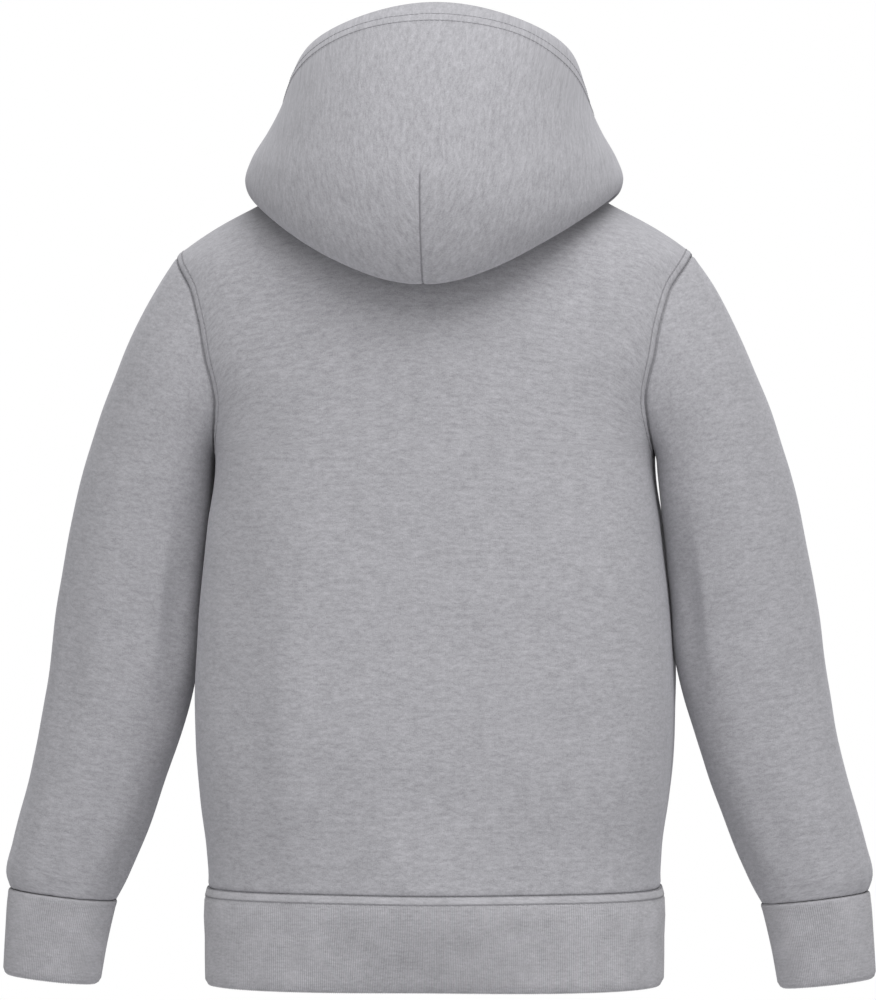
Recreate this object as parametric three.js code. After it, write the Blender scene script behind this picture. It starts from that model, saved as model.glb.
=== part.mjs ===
// A toddler's pullover hoodie in brushed fleece, size 4T, filled out as if worn, with its hood down.
// Millimetres, +Z up. The front faces -Y, and +X is the wearer's left. The origin is midway between the two
// places where a shoulder seam meets the neck, because the wearer's shoulders carry the garment there.
import * as THREE from "three";

// Driving dimensions
const FLEECE = 2; // thickness of the brushed fleece
const RIB = 3; // the rib knit is folded double
const HOOD_HEM = 25; // width of the hem turned in round the hood's opening
const HEM_LAYER = 1.4; // what the turned layer adds to the wall there
const SEAM_GAP = 0.3; // between two pieces that are sewn together
const BACK_NECK_DROP = 15;
const FRONT_NECK_DROP = 55;
const NECK_CURVE = 1.5; // how late the neckline turns down on its way to the centre
const SHOULDER_DROP = 38; // from the neck down to the end of the shoulder seam
const ARMPIT_DROP = 143;
const HEM_SEAM_DROP = 378;
const BODY_LENGTH = 430; // from the neck to the bottom edge
const ARMHOLE_BACK = 48; // how far the armhole reaches behind the shoulder seam
const ARMHOLE_FRONT = 52;
const ARM_SQUARENESS = 2.2;
const HOOD_SQUARENESS = 2.25;
const HOOD_LEAN = -4; // how far the hood's opening hangs towards the wearer's right
const HOOD_FRONT_SPLIT = 0.3; // from the centre front to each front edge of the hood
const HEM_STEP = 0.6; // over which the hood's wall steps in to the turned layer
const HEM_SHARE = 0.45; // the most that the hem takes of the cloth where the hood is low, at the front

// Shares of a piece's length: where it stops following the edge that it is sewn to, and starts to lean.
const ARMHOLE_BLEND = 0.16;
const NECK_BLEND = 0.2;
const LEAN_START = 0.5;

// Level sections through the body. Above the end of the shoulder seam, side is where that seam runs, and
// between there and the armpit the armhole cuts the section short.
const TORSO = [
  { z: 4, side: 68, back: 43, front: 45, square: 2.0 },
  { z: 0, side: 76, back: 46, front: 49, square: 2.0 },
  { z: -11, side: 95.5, back: 52, front: 56, square: 2.05 },
  { z: -22, side: 116, back: 57, front: 61, square: 2.1 },
  { z: -32, side: 131.5, back: 61, front: 65, square: 2.2 },
  { z: -38, side: 139, back: 63, front: 67, square: 2.3 },
  { z: -60, side: 143, back: 69, front: 72, square: 2.6 },
  { z: -90, side: 137, back: 74, front: 77, square: 2.8 },
  { z: -120, side: 122.5, back: 77, front: 81, square: 2.9 },
  { z: -143, side: 118, back: 79, front: 83, square: 3.0 },
  { z: -185, side: 122, back: 81, front: 86, square: 3.1 },
  { z: -240, side: 127.5, back: 84, front: 89, square: 3.1 },
  { z: -285, side: 129, back: 87, front: 91, square: 3.0 },
  { z: -330, side: 126, back: 86, front: 89, square: 2.9 },
  { z: -360, side: 122, back: 82, front: 85, square: 2.8 },
  { z: -378, side: 122, back: 81, front: 84, square: 2.8 },
  { z: -384, side: 123.4, back: 82.5, front: 85.5, square: 2.8 },
  { z: -405, side: 123.6, back: 82.5, front: 85.5, square: 2.8 },
  { z: -430, side: 124.5, back: 83.5, front: 86.5, square: 2.8 },
];

// Soft troughs in the body, or swells where the depth is below 0. Their turn from the centre back towards the
// wearer's left, and their width, are in degrees.
const BODY_FOLDS = [
  { turn: 58, top: -105, bottom: -395, width: 12, depth: 6 },
  { turn: -60, top: -190, bottom: -405, width: 13, depth: 5.6 },
  { turn: 0, top: -318, bottom: -452, width: 29, depth: -7 },
  { turn: 138, top: -200, bottom: -376, width: 9, depth: 3 },
  { turn: -128, top: -240, bottom: -374, width: 8, depth: 2.6 },
  { turn: 98, top: -190, bottom: -380, width: 14, depth: 1.2 },
  { turn: -103, top: -60, bottom: -350, width: 6.5, depth: -2 },
];

// Sections down the sleeve: the points furthest from the body and nearest to it, how far back the middle is,
// and half the depth from back to front.
const SLEEVE = [
  { down: 0, outerX: 139, outerZ: -38, innerX: 117.5, innerZ: -143, y: 0, depth: 50 },
  { down: 0.06, outerX: 150, outerZ: -54, innerX: 119, innerZ: -147, y: 0, depth: 48.5 },
  { down: 0.15, outerX: 163.5, outerZ: -80, innerX: 120.4, innerZ: -158, y: -1, depth: 46 },
  { down: 0.25, outerX: 175.5, outerZ: -108, innerX: 122.2, innerZ: -175, y: -2, depth: 43.5 },
  { down: 0.36, outerX: 188, outerZ: -143, innerX: 124.9, innerZ: -200, y: -4, depth: 41 },
  { down: 0.48, outerX: 198, outerZ: -183, innerX: 127.6, innerZ: -230, y: -7, depth: 39.5 },
  { down: 0.6, outerX: 206.5, outerZ: -228, innerX: 129.6, innerZ: -259, y: -10, depth: 38 },
  { down: 0.72, outerX: 212.3, outerZ: -272, innerX: 138.5, innerZ: -294, y: -13, depth: 36.5 },
  { down: 0.84, outerX: 221.6, outerZ: -318, innerX: 151.5, innerZ: -331, y: -16, depth: 35 },
  { down: 0.93, outerX: 232.4, outerZ: -356, innerX: 163.5, innerZ: -363, y: -18, depth: 33 },
  { down: 0.975, outerX: 235.6, outerZ: -373, innerX: 171, innerZ: -379, y: -19, depth: 31 },
  { down: 1, outerX: 233.4, outerZ: -381, innerX: 176, innerZ: -388, y: -19, depth: 28.5 },
];

// Soft troughs in the sleeve. They turn from the underarm towards the front, in degrees.
const SLEEVE_FOLDS = [
  { turn: 318, from: 0.26, to: 0.76, width: 14, depth: 3.0 },
  { turn: 38, from: 0.42, to: 0.8, width: 16, depth: 2.6 },
  { turn: 232, from: 0.5, to: 0.9, width: 14, depth: 1.6 },
];

// Sections down the cuff, in the columns of the sleeve's table.
const CUFF = [
  { down: 0, outerX: 233.8, outerZ: -381.3, innerX: 175.6, innerZ: -388.3, y: -19, depth: 28.9 },
  { down: 0.12, outerX: 234.6, outerZ: -386, innerX: 176.8, innerZ: -393, y: -19.2, depth: 29.1 },
  { down: 0.5, outerX: 236, outerZ: -404, innerX: 181, innerZ: -411, y: -20, depth: 28.2 },
  { down: 1, outerX: 237.4, outerZ: -427, innerX: 185, innerZ: -433, y: -21, depth: 27.6 },
];

// Rings of the hood, in the order that the cloth runs from the neck seam: up, back over the shoulders, round
// the fold at the bottom, and up the outside to the opening. Each gives how far the ring reaches to the back,
// the side and the front, its height at those places, and how late it dips on its way to the back and front.
const HOOD = [
  { at: 0, back: 54, side: 76, front: 71, backZ: -15, sideZ: 0, frontZ: -55, arch: 1.5, bow: 1.5 },
  { at: 0.035, back: 55, side: 77.5, front: 71.5, backZ: -8.5, sideZ: 5, frontZ: -54.5, arch: 1.6, bow: 1.7 },
  { at: 0.075, back: 61, side: 82, front: 72, backZ: -10, sideZ: 7, frontZ: -54, arch: 1.8, bow: 2 },
  { at: 0.14, back: 70.5, side: 88.5, front: 73, backZ: -31, sideZ: 2, frontZ: -53, arch: 2, bow: 2.3 },
  { at: 0.22, back: 81, side: 94, front: 74, backZ: -53, sideZ: -4, frontZ: -52, arch: 2.1, bow: 2.4 },
  { at: 0.3, back: 93, side: 99, front: 75, backZ: -56.5, sideZ: -5, frontZ: -51, arch: 2.1, bow: 2.4 },
  { at: 0.4, back: 109, side: 102, front: 75.5, backZ: -38, sideZ: 3.5, frontZ: -49.2, arch: 1.9, bow: 2.2 },
  { at: 0.51, back: 116.5, side: 98, front: 75.5, backZ: -9, sideZ: 15, frontZ: -47.8, arch: 1.8, bow: 2 },
  { at: 0.62, back: 113, side: 90, front: 75, backZ: 18, sideZ: 28, frontZ: -46.6, arch: 1.6, bow: 1.9 },
  { at: 0.73, back: 104.5, side: 84, front: 74.5, backZ: 45, sideZ: 39.5, frontZ: -45, arch: 1.4, bow: 1.8 },
  { at: 0.84, back: 91, side: 80, front: 73.5, backZ: 69, sideZ: 49.5, frontZ: -44.2, arch: 1.2, bow: 1.6 },
  { at: 0.93, back: 75, side: 77, front: 72.5, backZ: 85.5, sideZ: 57, frontZ: -43.2, arch: 1.1, bow: 1.5 },
  { at: 1, back: 58, side: 74.5, front: 71.5, backZ: 94, sideZ: 62, frontZ: -42.5, arch: 1, bow: 1.4 },
];

// How finely each piece is divided
const NECK_STEPS = 10; // on each side of the centre
const SHOULDER_STEPS = 4;
const ARMHOLE_STEPS = 10;
const SIDE_SEAM_STEPS = 9;
const SLEEVE_STEPS = 16;
const CUFF_STEPS = 3;
const HEM_LEVELS = [0, 0.12, 0.55, 1];
const HOOD_STEPS = 15;
const HOOD_HEM_STEPS = 2;
const LENGTH_SAMPLES = 160; // along the hood, to measure it
const SLOPE_STEP = 0.002; // between the places that a surface's slope is read from
const EDGE_STEP = 0.02; // between the places that show which way an edge runs

const FLEECE_GREY = 0xa8a7ac;
const RIB_GREY = 0xa4a3a8;
const FLEECE_ROUGHNESS = 0.95;
const RIB_ROUGHNESS = 0.9;

const QUARTER = Math.PI / 2;
const mix = (a, b, t) => a + (b - a) * t;
const clamp = (t) => Math.min(1, Math.max(0, t));
const ease = (t) => clamp(t) ** 2 * (3 - 2 * clamp(t));
const degrees = THREE.MathUtils.degToRad;
const steps = (count) => Array.from({ length: count + 1 }, (_, i) => i / count);
const mirrored = (p) => new THREE.Vector3(-p.x, p.y, p.z);

// A smooth curve through one column of a table, against the column that orders its rows.
function curve(rows, by, of) {
  const sorted = [...rows].sort((a, b) => a[by] - b[by]);
  const at = sorted.map((row) => row[by]);
  const value = sorted.map((row) => row[of]);
  const last = at.length - 1;
  const rise = (i) => (value[i + 1] - value[i]) / (at[i + 1] - at[i]);
  const slope = at.map((_, i) => {
    if (i === 0) return rise(0);
    if (i === last) return rise(last - 1);
    const before = at[i] - at[i - 1];
    const after = at[i + 1] - at[i];
    return (rise(i - 1) * after + rise(i) * before) / (before + after);
  });
  return (x) => {
    let i = 0;
    while (i < last - 1 && x > at[i + 1]) i += 1;
    const width = at[i + 1] - at[i];
    const t = (x - at[i]) / width;
    const lean = slope[i] * (1 - t) - slope[i + 1] * t;
    return mix(value[i], value[i + 1], t * t * (3 - 2 * t)) + width * t * (1 - t) * lean;
  };
}

// One curve for each column of a table.
function curves(rows, by) {
  const columns = Object.keys(rows[0]).filter((name) => name !== by);
  return Object.fromEntries(columns.map((name) => [name, curve(rows, by, name)]));
}

// The depth of a table's troughs at one place. A trough fades out towards both of its ends.
function troughs(rows, start, end, turn, at) {
  let total = 0;
  for (const row of rows) {
    const off = Math.atan2(Math.sin(turn - degrees(row.turn)), Math.cos(turn - degrees(row.turn)));
    const across = Math.exp(-((off / degrees(row.width)) ** 2));
    const along = Math.sin(Math.PI * clamp((at - row[start]) / (row[end] - row[start]))) ** 2;
    total += row.depth * across * along;
  }
  return total;
}

// How far a rounded section reaches in one direction, turned from its back towards its side.
function reach(turn, section) {
  const depth = Math.cos(turn) > 0 ? section.back : section.front;
  const inDepth = Math.abs(Math.cos(turn) / depth) ** section.square;
  const inWidth = Math.abs(Math.sin(turn) / section.side) ** section.square;
  return (inDepth + inWidth) ** (-1 / section.square);
}

// The direction out of a surface. Its first value runs round the piece and its second along it.
function outward(surface, round, along) {
  const across = surface(round + SLOPE_STEP, along).sub(surface(round - SLOPE_STEP, along));
  const up = surface(round, along + SLOPE_STEP).sub(surface(round, along - SLOPE_STEP));
  return up.cross(across).normalize();
}

// The outside of the body, at a turn from the centre back towards the wearer's left.
const torso = curves(TORSO, "z");
function onBody(turn, z) {
  const read = (name) => torso[name](z);
  const section = { back: read("back"), front: read("front"), side: read("side"), square: read("square") };
  const r = reach(turn, section) - troughs(BODY_FOLDS, "top", "bottom", turn, z);
  return new THREE.Vector3(r * Math.sin(turn), r * Math.cos(turn), z);
}

// One place on the wall of a piece: its outer point, its inner one, and the direction between them.
function wallAt(surface, round, along, thickness) {
  const outer = surface(round, along);
  const out = outward(surface, round, along);
  return { outer, inner: outer.clone().addScaledVector(out, -thickness), out };
}

// The neckline, and the armhole from the armpit to the shoulder, as turns and heights on the body.
const necklineZ = (turn) => {
  const drop = Math.cos(turn) > 0 ? BACK_NECK_DROP : FRONT_NECK_DROP;
  return -drop * Math.abs(Math.cos(turn)) ** NECK_CURVE;
};
const roundArm = (angle) => (1 - Math.abs(Math.cos(angle)) ** ARM_SQUARENESS) ** (1 / ARM_SQUARENESS);
function armhole(share, behind) {
  const angle = Math.PI * share;
  const z = mix(-ARMPIT_DROP, -SHOULDER_DROP, (1 - Math.cos(angle)) / 2);
  const y = roundArm(angle) * (behind ? ARMHOLE_BACK : ARMHOLE_FRONT);
  const depth = behind ? torso.back(z) : torso.front(z);
  const square = torso.square(z);
  const x = torso.side(z) * (1 - (y / depth) ** square) ** (1 / square);
  return { turn: behind ? Math.atan2(x, y) : Math.PI - Math.atan2(x, y), z };
}

// A panel's side edge runs up the side seam and on round the armhole.
function sideEdge(row, behind) {
  if (row <= SIDE_SEAM_STEPS) {
    const z = mix(-HEM_SEAM_DROP + SEAM_GAP / 2, -ARMPIT_DROP, row / SIDE_SEAM_STEPS);
    return { away: QUARTER, z };
  }
  const edge = armhole((row - SIDE_SEAM_STEPS) / ARMHOLE_STEPS, behind);
  return { away: behind ? edge.turn : Math.PI - edge.turn, z: edge.z };
}

// Its top edge runs along the neckline from the centre, and then down the shoulder seam.
function topEdge(column, behind) {
  const away = QUARTER * Math.min(1, column / NECK_STEPS);
  const shoulder = Math.max(0, column - NECK_STEPS) / SHOULDER_STEPS;
  return { away, z: necklineZ(behind ? away : Math.PI - away) - SHOULDER_DROP * shoulder };
}

// A front or back panel. Its columns fan out from the top edge, and its rows bend up to meet that edge.
function panel(behind) {
  const half = NECK_STEPS + SHOULDER_STEPS;
  const rows = SIDE_SEAM_STEPS + ARMHOLE_STEPS;
  const strips = [];
  for (let column = -half; column <= half; column += 1) {
    const side = Math.sign(column);
    const share = Math.abs(column) / half;
    const top = topEdge(Math.abs(column), behind);
    const places = [];
    for (let row = 0; row <= rows; row += 1) {
      const edge = sideEdge(row, behind);
      const bend = ease((row - SIDE_SEAM_STEPS) / ARMHOLE_STEPS);
      const z = edge.z + bend * (top.z + SHOULDER_DROP);
      const seam = QUARTER - SEAM_GAP / 2 / torso.side(z);
      const away = Math.min(seam, bend * (top.away - QUARTER * share) + share * edge.away) * side;
      places.push(wallAt(onBody, behind ? away : Math.PI - away, z, FLEECE));
    }
    strips.push([...places.map((p) => p.outer), ...places.map((p) => p.inner).reverse()]);
  }
  return wall(strips, false);
}

// Where a piece sewn to an edge of the body begins: parallel to that edge and a seam's gap into the hole.
function sewnOn(edge, share, centre) {
  const here = edge(share);
  const { outer, inner, out } = wallAt(onBody, here.turn, here.z, FLEECE);
  const before = edge(share - EDGE_STEP);
  const after = edge(share + EDGE_STEP);
  const run = onBody(after.turn, after.z).sub(onBody(before.turn, before.z));
  const into = run.cross(out).normalize();
  if (into.dot(centre.clone().sub(outer)) < 0) into.negate();
  return { outer: outer.addScaledVector(into, SEAM_GAP), inner: inner.addScaledVector(into, SEAM_GAP), out };
}

// The rib band at the bottom of the body.
function hemBand() {
  const columns = 4 * (NECK_STEPS + SHOULDER_STEPS);
  const strips = steps(columns).slice(0, -1).map((share) => {
    const turn = 2 * Math.PI * share;
    const places = HEM_LEVELS.map((down) => {
      const z = mix(-HEM_SEAM_DROP - SEAM_GAP / 2, -BODY_LENGTH + RIB / 2, down);
      return wallAt(onBody, turn, z, RIB);
    });
    return foldedStrip(places, new THREE.Vector3(0, 0, -RIB / 2));
  });
  return wall(strips, true);
}

// A strip of wall that ends in a fold, which stands a little past its last place.
function foldedStrip(places, past) {
  const last = places[places.length - 1];
  const fold = last.outer.clone().add(last.inner).multiplyScalar(0.5).add(past);
  return [...places.map((p) => p.outer), fold, ...places.map((p) => p.inner).reverse()];
}

// The outside of the sleeve or cuff, turned from the underarm towards the front, before any cloth folds.
function onTube(shape, turn, down) {
  const across = (1 + Math.cos(turn)) / 2;
  return new THREE.Vector3(
    mix(shape.outerX(down), shape.innerX(down), across),
    shape.y(down) - Math.sign(Math.sin(turn)) * shape.depth(down) * roundArm(turn),
    mix(shape.outerZ(down), shape.innerZ(down), across),
  );
}

// The armhole's edge all round, at a turn from the underarm towards the front.
const armholeRound = (turn) => {
  const round = Math.atan2(Math.sin(turn), Math.cos(turn));
  return armhole(Math.abs(round) / Math.PI, round < 0);
};

const sleeveShape = curves(SLEEVE, "down");
function onSleeve(turn, down) {
  const point = onTube(sleeveShape, turn, down);
  const edge = armholeRound(turn);
  const follow = 1 - ease(down / ARMHOLE_BLEND);
  point.addScaledVector(onBody(edge.turn, edge.z).sub(onTube(sleeveShape, turn, 0)), follow);
  const middle = onTube(sleeveShape, 0, down).add(onTube(sleeveShape, Math.PI, down)).multiplyScalar(0.5);
  const inward = middle.sub(point).normalize();
  return point.addScaledVector(inward, troughs(SLEEVE_FOLDS, "from", "to", turn, down));
}

function sleeve(place) {
  const centre = new THREE.Vector3(torso.side(-ARMPIT_DROP), 0, -(ARMPIT_DROP + SHOULDER_DROP) / 2);
  const strips = steps(2 * ARMHOLE_STEPS).slice(0, -1).map((share) => {
    const turn = 2 * Math.PI * share;
    const places = steps(SLEEVE_STEPS).slice(1).map((down) => wallAt(onSleeve, turn, down, FLEECE));
    places.unshift(sewnOn(armholeRound, turn, centre));
    return [...places.map((p) => p.outer), ...places.map((p) => p.inner).reverse()].map(place);
  });
  return wall(strips, true);
}

function cuff(place) {
  const shape = curves(CUFF, "down");
  const onCuff = (turn, down) => onTube(shape, turn, down);
  const lastRow = CUFF[CUFF.length - 1];
  const beforeRow = CUFF[CUFF.length - 2];
  const past = new THREE.Vector3(
    lastRow.outerX - beforeRow.outerX,
    lastRow.y - beforeRow.y,
    lastRow.outerZ - beforeRow.outerZ,
  ).setLength(RIB / 2);
  const strips = steps(2 * ARMHOLE_STEPS).slice(0, -1).map((share) => {
    const turn = 2 * Math.PI * share;
    const places = steps(CUFF_STEPS).map((down) => wallAt(onCuff, turn, down, RIB));
    return foldedStrip(places, past).map(place);
  });
  return wall(strips, true);
}

// The outside of the hood, at a turn from the centre back towards the wearer's left.
const hoodShape = curves(HOOD, "at");
function onHoodRing(turn, along) {
  const behind = Math.cos(turn) > 0;
  const section = {
    back: hoodShape.back(along),
    front: hoodShape.front(along),
    side: hoodShape.side(along),
    square: HOOD_SQUARENESS,
  };
  const r = reach(turn, section);
  const toCentre = Math.abs(Math.cos(turn)) ** (behind ? hoodShape.arch(along) : hoodShape.bow(along));
  const centreZ = behind ? hoodShape.backZ(along) : hoodShape.frontZ(along);
  const z = mix(hoodShape.sideZ(along), centreZ, toCentre);
  return new THREE.Vector3(r * Math.sin(turn), r * Math.cos(turn), z);
}

function onHood(turn, along) {
  const follow = 1 - ease(along / NECK_BLEND);
  const seam = onBody(turn, necklineZ(turn)).sub(onHoodRing(turn, 0));
  const point = onHoodRing(turn, along).addScaledVector(seam, follow);
  point.x += HOOD_LEAN * ease((along - LEAN_START) / (1 - LEAN_START)) * Math.cos(turn / 2) ** 2;
  return point;
}

// The values that divide one line of the hood's cloth evenly from the neck seam to the hem, and across it.
function hoodRows(turn) {
  const samples = steps(LENGTH_SAMPLES);
  const length = [0];
  for (let i = 1; i < samples.length; i += 1) {
    length.push(length[i - 1] + onHood(turn, samples[i]).distanceTo(onHood(turn, samples[i - 1])));
  }
  const total = length[LENGTH_SAMPLES];
  const hem = Math.min(HOOD_HEM, HEM_SHARE * total);
  const alongAt = (wanted) => {
    const next = Math.max(1, length.findIndex((value) => value >= wanted));
    const t = (wanted - length[next - 1]) / (length[next] - length[next - 1]);
    return mix(samples[next - 1], samples[next], t);
  };
  const cloth = steps(HOOD_STEPS).slice(1).map((t) => alongAt(t * (total - hem)));
  const turned = steps(HOOD_HEM_STEPS).slice(1, -1).map((t) => alongAt(total - hem * (1 - t)));
  return { cloth, turned: [alongAt(total - hem + HEM_STEP), ...turned, 1] };
}

function hood() {
  const around = 4 * NECK_STEPS;
  const splitTurn = HOOD_FRONT_SPLIT / torso.front(-FRONT_NECK_DROP);
  const neckline = (turn) => ({ turn, z: necklineZ(turn) });
  const above = new THREE.Vector3(0, 0, FRONT_NECK_DROP);
  const strips = steps(around).map((share) => {
    const turn = mix(-Math.PI + splitTurn, Math.PI - splitTurn, share);
    const rows = hoodRows(turn);
    const places = rows.cloth.map((along) => wallAt(onHood, turn, along, FLEECE));
    places.unshift(sewnOn(neckline, turn, above));
    places.push(...rows.turned.map((along) => wallAt(onHood, turn, along, FLEECE + HEM_LAYER)));
    return [...places.map((p) => p.outer), ...places.map((p) => p.inner).reverse()];
  });
  return wall(strips, false);
}

// A closed mesh from strips that each run along the outside and back along the inside. The strips close into
// a ring, or else the first and last are capped.
function wall(strips, ring) {
  const points = strips.flat();
  const count = strips[0].length;
  const index = [];
  const triangle = (a, b, c) => {
    if (a !== b && b !== c && c !== a) index.push(a, b, c);
  };
  const quad = (a, b, c, d) => {
    if (points[a].distanceTo(points[c]) <= points[b].distanceTo(points[d])) {
      triangle(a, b, c);
      triangle(a, c, d);
    } else {
      triangle(a, b, d);
      triangle(b, c, d);
    }
  };
  const at = (strip, place) => (strip % strips.length) * count + (place % count);
  for (let strip = 0; strip < strips.length - (ring ? 0 : 1); strip += 1) {
    for (let place = 0; place < count; place += 1) {
      quad(at(strip, place), at(strip + 1, place), at(strip + 1, place + 1), at(strip, place + 1));
    }
  }
  if (!ring) {
    const end = (strips.length - 1) * count;
    for (let place = 0; place + 1 <= count - 2 - place; place += 1) {
      quad(place, place + 1, count - 2 - place, count - 1 - place);
      quad(end + count - 1 - place, end + count - 2 - place, end + place + 1, end + place);
    }
  }
  const volume = (a, b, c) => points[a].dot(points[b].clone().cross(points[c]));
  let total = 0;
  for (let i = 0; i < index.length; i += 3) total += volume(index[i], index[i + 1], index[i + 2]);
  if (total < 0) index.reverse();
  const geometry = new THREE.BufferGeometry().setFromPoints(points);
  geometry.setIndex(index);
  geometry.computeVertexNormals();
  return geometry;
}

function piece(name, geometry, colour, roughness) {
  const material = new THREE.MeshStandardMaterial({ color: colour, roughness, metalness: 0 });
  const mesh = new THREE.Mesh(geometry, material);
  mesh.name = name;
  return mesh;
}

const fleece = (name, geometry) => piece(name, geometry, FLEECE_GREY, FLEECE_ROUGHNESS);
const rib = (name, geometry) => piece(name, geometry, RIB_GREY, RIB_ROUGHNESS);

const hoodie = new THREE.Group();
hoodie.name = "hoodie";
hoodie.add(fleece("back", panel(true)));
hoodie.add(fleece("front", panel(false)));
hoodie.add(fleece("hood", hood()));
hoodie.add(rib("hem_band", hemBand()));
for (const [side, place] of [["left", (p) => p], ["right", mirrored]]) {
  hoodie.add(fleece(`sleeve_${side}`, sleeve(place)));
  hoodie.add(rib(`cuff_${side}`, cuff(place)));
}

export default hoodie;
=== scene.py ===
import math

import bpy
import numpy as np
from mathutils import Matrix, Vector, noise
from mathutils.bvhtree import BVHTree


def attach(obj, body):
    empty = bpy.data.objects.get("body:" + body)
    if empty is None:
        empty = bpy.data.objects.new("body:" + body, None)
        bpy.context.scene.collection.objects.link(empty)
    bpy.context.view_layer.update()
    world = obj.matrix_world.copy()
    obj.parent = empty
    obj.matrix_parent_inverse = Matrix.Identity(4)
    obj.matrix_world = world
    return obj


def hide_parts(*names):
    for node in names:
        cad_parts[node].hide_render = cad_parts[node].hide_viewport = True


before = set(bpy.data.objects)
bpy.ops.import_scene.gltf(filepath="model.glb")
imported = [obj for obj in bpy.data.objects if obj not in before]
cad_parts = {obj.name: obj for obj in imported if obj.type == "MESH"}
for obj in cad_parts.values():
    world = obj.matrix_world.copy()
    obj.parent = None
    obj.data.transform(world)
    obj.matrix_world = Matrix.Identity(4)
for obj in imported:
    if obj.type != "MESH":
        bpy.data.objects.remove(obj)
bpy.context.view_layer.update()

# The photographer's set: a plain pale floor well below the garment, a white surround that lights it softly,
# and large lamps. The camera looks at the back, level with the garment's middle and turned a little.
MM = 0.001
LOOK_AT = Vector((0.0, 0.0, -0.170))
CAMERA_DISTANCE = 3.15
CAMERA_TURN = math.radians(184)
MM_PER_PIXEL = 0.54
FRAME_PIXELS = 1000
SENSOR = 36.0
CENTRE_SHIFT = 3 / FRAME_PIXELS
FLOOR_DROP = 0.82
FLOOR_RADIUS = 3.2
FLOOR_SIDES = 96
WHITE = (1.0, 1.0, 1.0, 1.0)
SURROUND_LIGHT = 0.37
FLOOR_COLOUR = (0.72, 0.72, 0.73, 1.0)
FLOOR_ROUGHNESS = 0.9
FAR_CLIP = 20

camera_data = bpy.data.cameras.new("camera")
camera_data.sensor_width = SENSOR
camera_data.lens = SENSOR * CAMERA_DISTANCE / (FRAME_PIXELS * MM_PER_PIXEL * MM)
camera_data.shift_x = CENTRE_SHIFT
camera_data.clip_end = FAR_CLIP
camera = bpy.data.objects.new("camera", camera_data)
bpy.context.collection.objects.link(camera)
from_object = Vector((math.sin(CAMERA_TURN), -math.cos(CAMERA_TURN), 0))
camera.location = LOOK_AT + CAMERA_DISTANCE * from_object
camera.rotation_euler = (-from_object).to_track_quat("-Z", "Y").to_euler()
bpy.context.scene.camera = camera

# Each lamp: which way it stands from the garment, how high, how far, how wide and how strong.
LAMPS = [
    {"name": "key", "turn": 217, "rise": 58, "far": 2.6, "wide": 1.6, "watts": 26},
    {"name": "high", "turn": 184, "rise": 46, "far": 2.6, "wide": 1.6, "watts": 27},
    {"name": "low", "turn": 184, "rise": 5, "far": 2.2, "wide": 1.2, "watts": 7},
    {"name": "front", "turn": 4, "rise": 60, "far": 2.6, "wide": 1.6, "watts": 16},
]
for lamp in LAMPS:
    light = bpy.data.lights.new(lamp["name"], "AREA")
    light.energy = lamp["watts"]
    light.size = lamp["wide"]
    holder = bpy.data.objects.new(lamp["name"], light)
    turn, rise = math.radians(lamp["turn"]), math.radians(lamp["rise"])
    away = Vector((math.sin(turn) * math.cos(rise), -math.cos(turn) * math.cos(rise), math.sin(rise)))
    holder.location = LOOK_AT + lamp["far"] * away
    holder.rotation_euler = (-away).to_track_quat("-Z", "Y").to_euler()
    bpy.context.collection.objects.link(holder)

world = bpy.data.worlds.new("surround")
world.use_nodes = True
sky = world.node_tree
sky.nodes["Background"].inputs["Color"].default_value = WHITE
seen = sky.nodes.new("ShaderNodeLightPath")
strength = sky.nodes.new("ShaderNodeMapRange")
strength.inputs["To Min"].default_value = SURROUND_LIGHT
sky.links.new(seen.outputs["Is Camera Ray"], strength.inputs["Value"])
sky.links.new(strength.outputs["Result"], sky.nodes["Background"].inputs["Strength"])
bpy.context.scene.world = world
bpy.context.scene.view_settings.view_transform = "Standard"

floor_mesh = bpy.data.meshes.new("floor")
rim = []
for corner in range(FLOOR_SIDES):
    turn = 2 * math.pi * corner / FLOOR_SIDES
    rim.append((FLOOR_RADIUS * math.cos(turn), FLOOR_RADIUS * math.sin(turn), -FLOOR_DROP))
floor_mesh.from_pydata(rim, [], [list(range(FLOOR_SIDES))])
floor = bpy.data.objects.new("floor", floor_mesh)
bpy.context.collection.objects.link(floor)
floor_paint = bpy.data.materials.new("floor")
floor_paint.use_nodes = True
floor_shader = floor_paint.node_tree.nodes["Principled BSDF"]
floor_shader.inputs["Base Color"].default_value = FLOOR_COLOUR
floor_shader.inputs["Roughness"].default_value = FLOOR_ROUGHNESS
floor_mesh.materials.append(floor_paint)

# The fleece: heather grey jersey, brushed on the inside. Pale and dark fibres are spun together, so the yarn
# shows as short streaks along its rows of stitches, over a fine grain. Sewn lines press a groove into it, and
# the colour in each groove is darkened with painted shade.
FLEECE_COLOUR = (0.372, 0.368, 0.390)
HEATHER_DARK = 0.78
HEATHER_PALE = 1.22
HEATHER_CONTRAST = 3.8
INSIDE_PALE = 1.05
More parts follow.
